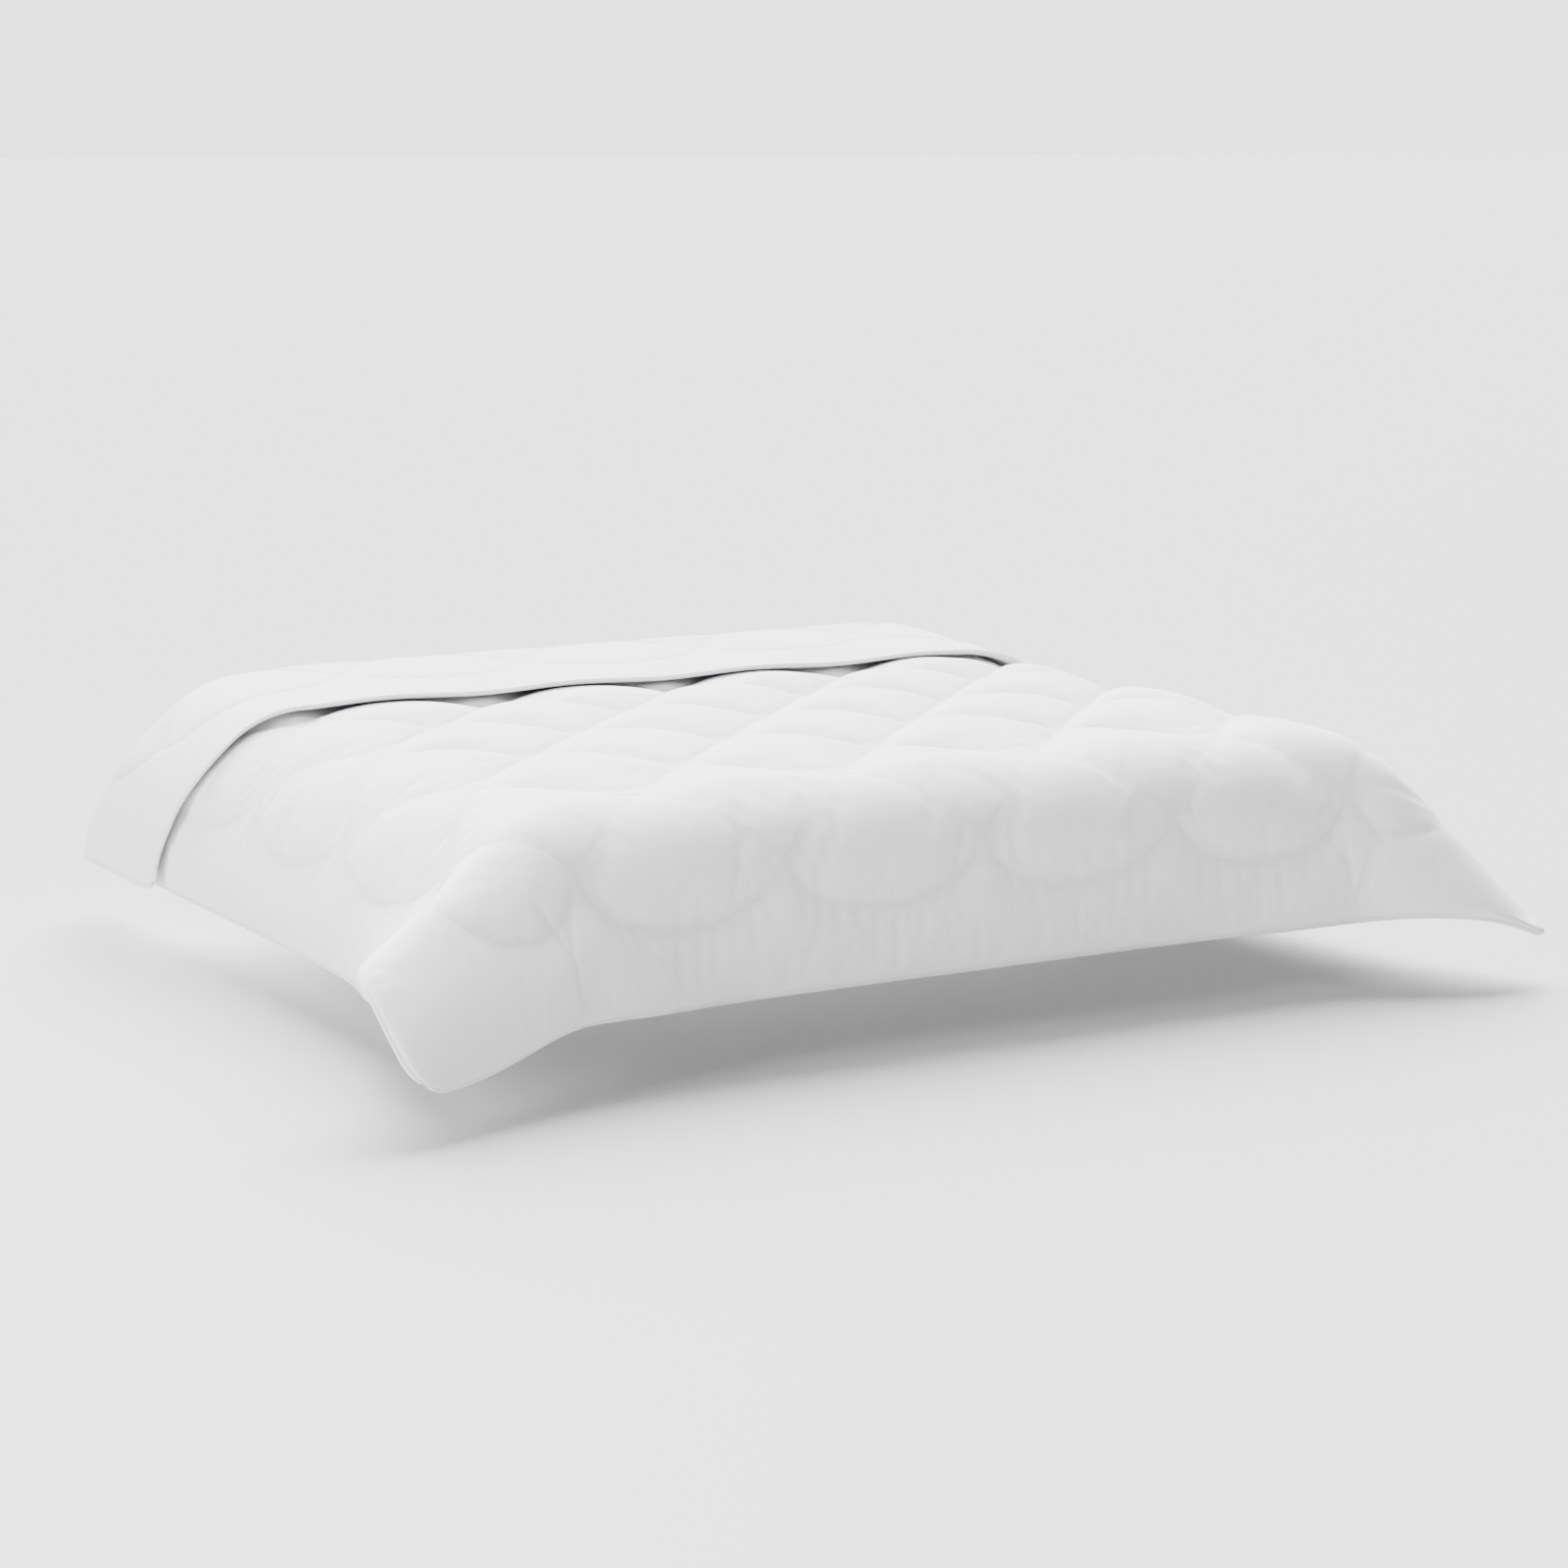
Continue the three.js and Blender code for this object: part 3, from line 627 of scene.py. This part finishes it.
PUFF_POWER = 0.78  # of the swell away from a seam; less makes a pocket fuller
FULLER_ON_BED = 0.26
PUFF_BORDER_WIDTH = 0.09
PUFF_BORDER_POWER = 0.6
PLAIN_WIDTH = 0.05
PLAIN_POWER = 0.5
HEM_WIDTH = 0.018
HEM_POWER = 0.5
RIPPLE_WIDTH = 0.02
CREASE_FREE_WIDTH = 0.014
SINK_POWER = 1.6
BACKING_UNEVEN = 0.0010


def loft_heights(s, t, on_bed, hanging):
    """Height of the face in the middle of a pocket at each flat place."""
    dropped = DROP_LOFT + (TOP_LOFT - DROP_LOFT) * on_bed
    in_corner = smooth(np.abs(s), *CORNER_SIDE_RUN) * (1 - smooth(t, *CORNER_FOOT_RUN))
    dropped = dropped + (CORNER_LOFT - dropped) * in_corner
    flap = FLAP_LOFT + (WING_LOFT - FLAP_LOFT) * hanging
    doubled = 1 - smooth((FREE_EDGE - t) / PITCH, 0.5, 1.5)
    return dropped + (flap - dropped) * doubled, doubled


def seam_sink(t):
    """How far the backing comes up on a seam, and where it does so on the flap's outer side."""
    turned = smooth(t, *SINK_RUN)
    return SEAM_LIFT + (FLAP_SEAM_SINK - SEAM_LIFT) * turned, turned


def build_layers():
    """Flat places, height of the face, lift of the backing and the seams over the grid."""
    s, t = rounded(*grid())
    s, v, border = onto_seam(s, t - FOOT_BORDER)
    t = v + FOOT_BORDER
    family_a, family_b = lattice_distance(s, v, 1), lattice_distance(s, v, -1)
    line = np.minimum(family_a, family_b)
    inside = inside_field(s, v)
    half_gap = 2 * PITCH / math.sqrt(2)
    on_bed = smooth(t, *BED_RUN) * (1 - smooth(np.abs(s), *SHOULDER_RUN))
    power = PUFF_POWER - FULLER_ON_BED * on_bed
    puff = swell(family_a, half_gap, power) * swell(family_b, half_gap, power)
    puff = puff * swell(border, PUFF_BORDER_WIDTH, PUFF_BORDER_POWER)
    hem = np.minimum.reduce([HALF_WIDTH - np.abs(s), t, LENGTH - t])
    plain = swell(border, PLAIN_WIDTH, PLAIN_POWER) * swell(hem, PLAIN_WIDTH, PLAIN_POWER)
    hanging = smooth(np.abs(s), BED_HALF_WIDTH - EDGE_RADIUS, SIDE_PLANE)
    full, doubled = loft_heights(s, t, on_bed, hanging)
    # A number for each pocket, scattered by an angle that has no simple ratio to a turn.
    pocket = np.floor((s + v) / (4 * PITCH)) * 31 + np.floor((s - v) / (4 * PITCH))
    variety = 1 + POCKET_VARIETY * np.sin(pocket * 12.9898) * (1 - doubled * 0.7)
    pocket_height = SEAM_TOP + (full * variety - SEAM_TOP) * puff
    height = np.where(inside, pocket_height, SEAM_TOP + (BORDER_LOFT - SEAM_TOP) * plain)
    in_fold = 1 - smooth(np.abs(t - (FOLD_START + FOLD_END) / 2), *FOLD_RUN)
    fold_height = FOLD_LOFT + (WING_FOLD_LOFT - FOLD_LOFT) * hanging
    height = height * (1 - in_fold) + np.minimum(height, fold_height) * in_fold
    lively = 1 - smooth(t, FREE_EDGE - 0.05, FREE_EDGE + 0.05)
    gathers = ripples(s, t, v, family_a, family_b, border, inside) * swell(line, RIPPLE_WIDTH, 1)
    height = height + lively * (gathers + hem_gathers(s, t, hem))
    edge = swell(hem, HEM_WIDTH, HEM_POWER)
    seam_distance = np.where(inside, np.minimum(border, line), border)
    height = height - creases(s, t) * swell(seam_distance, CREASE_FREE_WIDTH, 1)
    height = HEM_THICKNESS + (height - HEM_THICKNESS) * edge
    sink, turned = seam_sink(t)
    lift = sink * (1 - np.where(inside, puff, plain)) ** SINK_POWER * edge
    lift = lift + turned * BACKING_UNEVEN * smoother_noise(s * 6, t * 6, 31) * edge
    lift = np.minimum(lift, height - LEAST_THICKNESS)
    seams = (line < ON_SEAM) & inside | (border < ON_SEAM)
    return s, t, height, lift, seams, hem, seam_distance


def add_piece(name, points, *face_groups):
    """A smooth mesh object of points and of faces that come in groups of one size each."""
    mesh = bpy.data.meshes.new(name)
    mesh.vertices.add(len(points))
    mesh.vertices.foreach_set("co", points.astype(np.float32).ravel())
    corners = np.concatenate([group.ravel() for group in face_groups]).astype(np.int32)
    sizes = [np.full(len(group), group.shape[1], dtype=np.int32) for group in face_groups]
    sizes = np.concatenate(sizes)
    starts = np.concatenate([[0], np.cumsum(sizes)[:-1]]).astype(np.int32)
    mesh.loops.add(len(corners))
    mesh.loops.foreach_set("vertex_index", corners)
    mesh.polygons.add(len(sizes))
    mesh.polygons.foreach_set("loop_start", starts)
    mesh.polygons.foreach_set("loop_total", sizes)
    mesh.update(calc_edges=True)
    mesh.validate()
    mesh.shade_smooth()
    piece = bpy.data.objects.new(name, mesh)
    bpy.context.scene.collection.objects.link(piece)
    return piece


def closed_body(name, face, back, seams):
    """Closed mesh between two sheets on one grid, whose quads fold along the seams."""
    rows, columns = face.shape[:2]
    count = rows * columns
    index = np.arange(count).reshape(rows, columns)
    a, b, c, d = index[:-1, :-1], index[:-1, 1:], index[1:, 1:], index[1:, :-1]
    on_a, on_b, on_c, on_d = seams[:-1, :-1], seams[:-1, 1:], seams[1:, 1:], seams[1:, :-1]
    rising = (on_a & on_c & ~(on_b | on_d)) | (on_b & on_d & (on_a ^ on_c))
    falling = (on_b & on_d & ~(on_a | on_c)) | (on_a & on_c & (on_b ^ on_d))
    whole = ~(rising | falling)
    quads = np.stack([a[whole], b[whole], c[whole], d[whole]], -1)
    halves = [
        np.stack([a[rising], b[rising], c[rising]], -1),
        np.stack([a[rising], c[rising], d[rising]], -1),
        np.stack([a[falling], b[falling], d[falling]], -1),
        np.stack([b[falling], c[falling], d[falling]], -1),
    ]
    triangles = np.concatenate(halves)
    rim = np.concatenate([index[0, :-1], index[:-1, -1], index[-1, :0:-1], index[:0:-1, 0]])
    ahead = np.roll(rim, -1)
    wall = np.stack([rim, ahead, ahead + count, rim + count], -1)
    four_sided = np.concatenate([quads + count, quads[:, ::-1], wall])
    three_sided = np.concatenate([triangles + count, triangles[:, ::-1]])
    points = np.concatenate([back.reshape(-1, 3), face.reshape(-1, 3)])
    return add_piece(name, points, four_sided, three_sided)


def relaxed(points, pinned):
    """Where a cloth over a grid of points settles while its pinned ones are held."""
    rows, columns = points.shape[:2]
    index = np.arange(rows * columns).reshape(rows, columns)
    a, b, c, d = index[:-1, :-1], index[:-1, 1:], index[1:, 1:], index[1:, :-1]
    faces = np.stack([a, b, c, d], -1).reshape(-1, 4)
    mesh = bpy.data.meshes.new("cloth")
    mesh.from_pydata(points.reshape(-1, 3).tolist(), [], faces.tolist())
    cloth = bpy.data.objects.new("cloth", mesh)
    bpy.context.scene.collection.objects.link(cloth)
    group = cloth.vertex_groups.new(name="pinned")
    group.add(index[pinned].ravel().tolist(), 1.0, "REPLACE")
    modifier = cloth.modifiers.new("Cloth", "CLOTH")
    settings = modifier.settings
    settings.quality = 4
    settings.mass = 0.12
    settings.tension_stiffness = settings.compression_stiffness = 20
    settings.shear_stiffness = 6
    settings.bending_stiffness = 0.12
    settings.tension_damping = settings.compression_damping = 8
    settings.vertex_group_mass = "pinned"
    settings.pin_stiffness = 1
    settings.shrink_min = -GROWTH
    settings.use_pressure = True
    settings.uniform_pressure_force = PRESSURE
    settings.effector_weights.gravity = 0
    modifier.collision_settings.use_collision = False
    modifier.point_cache.frame_start = 1
    modifier.point_cache.frame_end = SIMULATED_FRAMES
    scene = bpy.context.scene
    for frame_number in range(1, SIMULATED_FRAMES + 1):
        scene.frame_set(frame_number)
    settled = cloth.evaluated_get(bpy.context.evaluated_depsgraph_get()).to_mesh()
    result = np.empty(len(settled.vertices) * 3, dtype=np.float32)
    settled.vertices.foreach_get("co", result)
    scene.frame_set(1)
    bpy.data.objects.remove(cloth)
    bpy.data.meshes.remove(mesh)
    return result.reshape(points.shape).astype(float)


def inflate(face, seams, t, hem):
    """Lets the face swell between its seams as cloth, no further than a cap."""
    still_start, still_end = STILL_RUN
    pinned = seams | (t > still_end) | (hem < HELD_RIM)
    move = relaxed(face, pinned) - face
    length = np.linalg.norm(move, axis=-1, keepdims=True)
    move = move * np.minimum(1, MOST_MOVE / np.maximum(length, 1e-9))
    fade = 1 - smooth(t, still_start, still_end)
    return face + move * fade[..., None]


# ------------------------------------------------------------------ thread and piping
STITCH_PITCH = 0.0042
STITCH_LENGTH = 0.0032
STITCH_WIDTH = 0.0011
STITCH_HEIGHT = 0.0007
PIPING_RADIUS = 0.0033
PIPING_SIDES = 10
PIPING_OFFSET = 0.0018  # of its middle, out from the cloth's edge
PIPING_END_GAP = 0.002
AHEAD = 0.001  # how far on a seam's direction is taken
BEAD_RINGS = ((-0.5, 0.45), (0.0, 1.0), (0.5, 0.45))  # a stitch's rings: place, size
RING_POINTS = 4


def spaced(line, pitch):
    """Middles and directions of stitches set evenly along a flat line."""
    steps = np.linalg.norm(np.diff(line, axis=0), axis=1)
    run = np.concatenate([[0], np.cumsum(steps)])
    count = max(1, int(run[-1] / pitch))
    at = (np.arange(count) + 0.5) * run[-1] / count
    middle = np.stack([np.interp(at, run, line[:, i]) for i in (0, 1)], -1)
    ahead = np.stack([np.interp(at + AHEAD, run, line[:, i]) for i in (0, 1)], -1)
    behind = np.stack([np.interp(at - AHEAD, run, line[:, i]) for i in (0, 1)], -1)
    return middle, unit(ahead - behind)


def backing_lift(s, t):
    """Height of the backing over the draped place, on a seam."""
    sink, turned = seam_sink(t)
    return sink + turned * BACKING_UNEVEN * smoother_noise(s * 6, t * 6, 31)


def stitches(name, lines):
    """Beads of thread along flat lines, on the face and on the backing of the same seam."""
    runs = [spaced(line, STITCH_PITCH) for line in lines]
    middle, way = (np.concatenate(part) for part in zip(*runs))
    s, t = middle[:, 0], middle[:, 1] + FOOT_BORDER
    place, facing = soft_drape(s, t)
    ahead, _ = soft_drape(s + way[:, 0] * AHEAD, t + way[:, 1] * AHEAD)
    along = unit(ahead - place)
    beads = []
    for level, side in ((np.full_like(s, SEAM_TOP), 1.0), (backing_lift(s, t), -1.0)):
        up = facing * side
        across = np.cross(up, along)
        base = place + facing * level[:, None]
        for share, size in BEAD_RINGS:
            ring = base + along * share * STITCH_LENGTH
            for turn in range(RING_POINTS):
                angle = turn * math.pi / 2
                sideways = math.cos(angle) * STITCH_WIDTH / 2 * size
                upward = math.sin(angle) * STITCH_HEIGHT * size
                beads.append(ring + across * sideways + up * upward)
    points = np.stack(beads, 1).reshape(-1, 3)
    tube = []
    for near in (0, RING_POINTS):
        far = near + RING_POINTS
        for k in range(RING_POINTS):
            after = (k + 1) % RING_POINTS
            tube.append((near + k, near + after, far + after, far + k))
    bead = np.array(tube + [(3, 2, 1, 0), (8, 9, 10, 11)])
    starts = np.arange(0, len(points), len(BEAD_RINGS) * RING_POINTS)
    return add_piece(name, points, (bead[None] + starts[:, None, None]).reshape(-1, 4))


def quilting_lines():
    """Every line of the lattice as its CAD node's name and its flat points."""
    for lean, slope in (("right", 1), ("left", -1)):
        for number in range(1, 10):
            offset = slope * (SIDE_STEPS - 2 - 4 * (number - 1))
            rows = [row for row in range(HEAD_STEPS + 1) if abs(offset + slope * row) <= SIDE_STEPS]
            ends = np.array([(offset + slope * row, row) for row in (rows[0], rows[-1])]) * PITCH
            yield f"quilting_{lean}_leaning_{number}", ends


def piping_tube(name, rim, inner, up):
    """A round cord along the cloth's edge."""
    out = unit(rim - inner)
    middle = rim + out * PIPING_OFFSET
    middle[0] += unit(middle[1] - middle[0]) * PIPING_END_GAP
    middle[-1] += unit(middle[-2] - middle[-1]) * PIPING_END_GAP
    rings = []
    for k in range(PIPING_SIDES):
        angle = 2 * math.pi * k / PIPING_SIDES
        rings.append(middle + (out * math.cos(angle) + up * math.sin(angle)) * PIPING_RADIUS)
    points = np.stack(rings, 1).reshape(-1, 3)
    index = np.arange(len(points)).reshape(-1, PIPING_SIDES)
    near, far = index[:-1], index[1:]
    sides = np.stack([near, np.roll(near, -1, 1), np.roll(far, -1, 1), far], -1).reshape(-1, 4)
    return add_piece(name, points, sides, np.stack([index[0, ::-1], index[-1]]))


def facing_outwards(piece):
    """Turns a closed piece's faces outwards when its volume comes out negative."""
    mesh = piece.data
    mesh.calc_loop_triangles()
    points = np.empty(len(mesh.vertices) * 3)
    mesh.vertices.foreach_get("co", points)
    corners = np.empty(len(mesh.loop_triangles) * 3, dtype=np.int32)
    mesh.loop_triangles.foreach_get("vertices", corners)
    a, b, c = points.reshape(-1, 3)[corners.reshape(-1, 3).T]
    if np.einsum("ij,ij->i", a, np.cross(b, c)).sum() < 0:
        mesh.flip_normals()


# ------------------------------------------------------------------ materials
CLOTH_SPECULAR = 0.25
YARN_PITCH = 0.00045
SEAM_SHADE_FADING = 38.0  # of the painted shade along a seam, per metre away from it


class Material:
    """A node material with short ways to add and join nodes."""

    def __init__(self, name, roughness, sheen, sheen_roughness):
        self.data = bpy.data.materials.new(name)
        self.data.use_nodes = True
        self.tree = self.data.node_tree
        self.shader = self.tree.nodes["Principled BSDF"]
        self.shader.inputs["Roughness"].default_value = roughness
        self.shader.inputs["Sheen Weight"].default_value = sheen
        self.shader.inputs["Sheen Roughness"].default_value = sheen_roughness
        self.shader.inputs["Specular IOR Level"].default_value = CLOTH_SPECULAR

    def add(self, kind, **inputs):
        node = self.tree.nodes.new("ShaderNode" + kind)
        for socket, value in inputs.items():
            self.put(node.inputs[socket.replace("_", " ")], value)
        return node

    def put(self, socket, value):
        if isinstance(value, bpy.types.NodeSocket):
            self.tree.links.new(value, socket)
        else:
            socket.default_value = value

    def calculate(self, operation, first, second=0.0):
        node = self.tree.nodes.new("ShaderNodeMath")
        node.operation = operation
        self.put(node.inputs[0], first)
        self.put(node.inputs[1], second)
        return node.outputs[0]

    def noise(self, vector, scale, detail=3.0):
        return self.add("TexNoise", Vector=vector, Scale=scale, Detail=detail).outputs[0]

    def tones(self, factor, dark, light):
        """Colour that runs from one tone to the other with a factor."""
        ramp = self.tree.nodes.new("ShaderNodeValToRGB")
        ramp.color_ramp.elements[0].position = 0.3
        ramp.color_ramp.elements[0].color = (*dark, 1)
        ramp.color_ramp.elements[1].position = 0.7
        ramp.color_ramp.elements[1].color = (*light, 1)
        self.put(ramp.inputs[0], factor)
        return ramp.outputs["Color"]

    def bump(self, height, distance, strength, under=None):
        node = self.add("Bump", Height=height, Distance=distance, Strength=strength)
        if under is not None:
            self.put(node.inputs["Normal"], under)
        return node.outputs["Normal"]


def cotton():
    """Fine plain-weave white cotton, with soft creases and painted shade darkening it along the
    seams.
    """
    made = Material("cotton", roughness=0.82, sheen=0.25, sheen_roughness=0.45)
    flat = made.tree.nodes.new("ShaderNodeAttribute")
    flat.attribute_name = "flat_place"
    place = flat.outputs["Vector"]
    across, along, _ = made.add("SeparateXYZ", Vector=place).outputs
    turns = 2 * math.pi / YARN_PITCH
    warp = made.calculate("SINE", made.calculate("MULTIPLY", across, turns))
    weft = made.calculate("SINE", made.calculate("MULTIPLY", along, turns))
    weave = made.calculate("MULTIPLY", warp, weft)
    slubs = made.noise(place, scale=900.0)
    cloth = made.calculate("ADD", weave, made.calculate("MULTIPLY", slubs, 0.8))
    soft = made.bump(made.noise(place, scale=26.0, detail=5.0), distance=0.0030, strength=0.30)
    crumple = made.noise(place, scale=120.0, detail=4.0)
    fine = made.bump(crumple, distance=0.0006, strength=0.30, under=soft)
    normal = made.bump(cloth, distance=0.00010, strength=0.35, under=fine)
    made.put(made.shader.inputs["Normal"], normal)
    # Painted shade: the colour darkens towards each seam, standing in for the shade in the valleys
    # between pockets; the noise patches added to it are random tone.
    seam = made.tree.nodes.new("ShaderNodeAttribute")
    seam.attribute_name = "seam_distance"
    seam_shade_fade = made.calculate("MULTIPLY", seam.outputs["Fac"], SEAM_SHADE_FADING)
    patches = made.noise(place, scale=5.0)
    seam_shade_and_patches = made.calculate("ADD", made.calculate("MINIMUM", seam_shade_fade, 1.0), patches)
    tone = made.calculate("MULTIPLY", seam_shade_and_patches, 0.5)
    colour = made.tones(tone, dark=(0.795, 0.795, 0.80), light=(0.86, 0.86, 0.86))
    made.put(made.shader.inputs["Base Color"], colour)
    return made.data


def twisted(name, pitch, dark, light):
    """White thread or cord, with the twist of its yarns."""
    made = Material(name, roughness=0.6, sheen=0.2, sheen_roughness=0.4)
    place = made.add("TexCoord").outputs["Object"]
    x, y, z = made.add("SeparateXYZ", Vector=place).outputs
    level = made.calculate("ADD", x, y)
    slanted = made.calculate("ADD", level, made.calculate("MULTIPLY", z, 1.7))
    turns = made.calculate("MULTIPLY", slanted, 2 * math.pi / pitch)
    fuzz = made.noise(place, scale=3000.0)
    yarn = made.calculate("ADD", made.calculate("SINE", turns), fuzz)
    made.put(made.shader.inputs["Normal"], made.bump(yarn, distance=pitch / 8, strength=0.5))
    colour = made.tones(made.noise(place, scale=40.0), dark, light)
    made.put(made.shader.inputs["Base Color"], colour)
    return made.data


# ------------------------------------------------------------------ the duvet
SOFTENING = make_softening()
s, t, height, lift, seams, hem, seam_distance = build_layers()
place, facing = soft_drape(s, t)
face = place + facing * height[..., None]
back = place + facing * lift[..., None]
face = inflate(face, seams, t, hem)
body = closed_body("quilted_body", face, back, seams)
on_grid = [
    ("flat_place", "FLOAT_VECTOR", "vector", np.stack([s, t, 0 * s], -1)),
    ("seam_distance", "FLOAT", "value", seam_distance),
]
for name, kind, field, values in on_grid:
    both_sheets = np.tile(values.reshape(-1), 2).astype(np.float32)
    body.data.attributes.new(name, kind, "POINT").data.foreach_set(field, both_sheets)
body.data.materials.append(cotton())
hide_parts(*[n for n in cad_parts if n.startswith("batting") or n.endswith("fabric")])
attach(body, "root")

thread = twisted("thread", 0.0009, (0.74, 0.74, 0.75), (0.84, 0.84, 0.84))
seam_lines = [(name, [line]) for name, line in quilting_lines()]
for name, lines in [*seam_lines, ("border_stitching", scallop_runs())]:
    piece = stitches(name + "_thread", lines)
    facing_outwards(piece)
    piece.data.materials.append(thread)
    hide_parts(name)
    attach(piece, "root")

cord = twisted("piping", 0.0030, (0.80, 0.80, 0.81), (0.87, 0.87, 0.87))
middle = (face + back) / 2
EDGES = {
    "foot": (np.s_[0, :], np.s_[1, :]),
    "head": (np.s_[-1, :], np.s_[-2, :]),
    "left": (np.s_[:, 0], np.s_[:, 1]),
    "right": (np.s_[:, -1], np.s_[:, -2]),
}
for edge, (rim, inner) in EDGES.items():
    piece = piping_tube("cord_" + edge, middle[rim], middle[inner], facing[rim])
    facing_outwards(piece)
    piece.data.materials.append(cord)
    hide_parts("piping_" + edge)
    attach(piece, "root")
